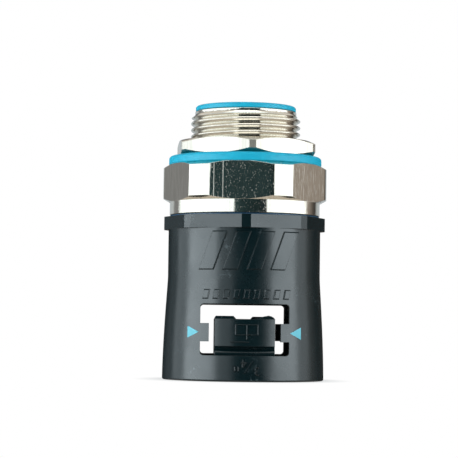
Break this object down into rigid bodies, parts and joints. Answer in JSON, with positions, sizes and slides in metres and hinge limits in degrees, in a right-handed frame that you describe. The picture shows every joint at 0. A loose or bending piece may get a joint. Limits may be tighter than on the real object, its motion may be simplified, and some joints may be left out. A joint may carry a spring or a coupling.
{
  "type": "liquidtight conduit connector",
  "caption": "Straight liquidtight conduit connector: snap-in plastic socket with sprung latches, swivelling plated brass thread, sealing washer and hexagon locknut.",
  "frame": {"origin": "centre of the conduit entry's face, on which the part stands", "axes": "+Z along the axis towards the thread; the front latch window faces -Y"},
  "size_m": [0.037, 0.0364, 0.0619],
  "materials": {
    "black_nylon": "satin",
    "latch_nylon": "satin",
    "blue_seal": "satin",
    "blue_liner": "satin",
    "black_rubber": "matte",
    "spring_steel": "satin",
    "nickel_plate": "polished"
  },
  "bodies": {
    "body": {"outer_body": "black_nylon", "conduit_seal": "blue_seal", "joint_seal": "blue_seal", "retaining_ring": "spring_steel"},
    "front_lock": {"front_latch": "latch_nylon"},
    "rear_lock": {"rear_latch": "latch_nylon"},
    "swivel": {"thread_body": "nickel_plate", "bore_liner": "blue_liner", "spigot_seal": "black_rubber"},
    "washer": {"sealing_washer": "blue_seal"},
    "nut": {"locknut": "nickel_plate"}
  },
  "joints": [
    {"name": "body_swivel", "type": "hinge", "parent": "body", "child": "swivel", "pos_m": [0, 0, 0.034], "axis": [0, 0, 1], "continuous": true},
    {"name": "nut_travel", "type": "slide", "parent": "swivel", "child": "washer", "axis": [0, 0, 1], "range_m": [0, 0.006]},
    {"name": "locknut_turn", "type": "hinge", "parent": "washer", "child": "nut", "pos_m": [0, 0, 0.052], "axis": [0, 0, 1], "range_deg": [0, 1440.1]},
    {"name": "front_latch_flex", "type": "hinge", "parent": "body", "child": "front_lock", "pos_m": [0, -0.0155, 0.00615], "axis": [1, 0, 0], "range_deg": [0, 10], "stiffness_Nm_per_rad": 0.5},
    {"name": "rear_latch_flex", "type": "hinge", "parent": "body", "child": "rear_lock", "pos_m": [0, 0.0155, 0.00615], "axis": [-1, 0, 0], "range_deg": [0, 10], "stiffness_Nm_per_rad": 0.5}
  ],
  "couplings": [
    {"joint": "locknut_turn", "follows": "nut_travel", "rad_per_m": 4188.8}
  ]
}
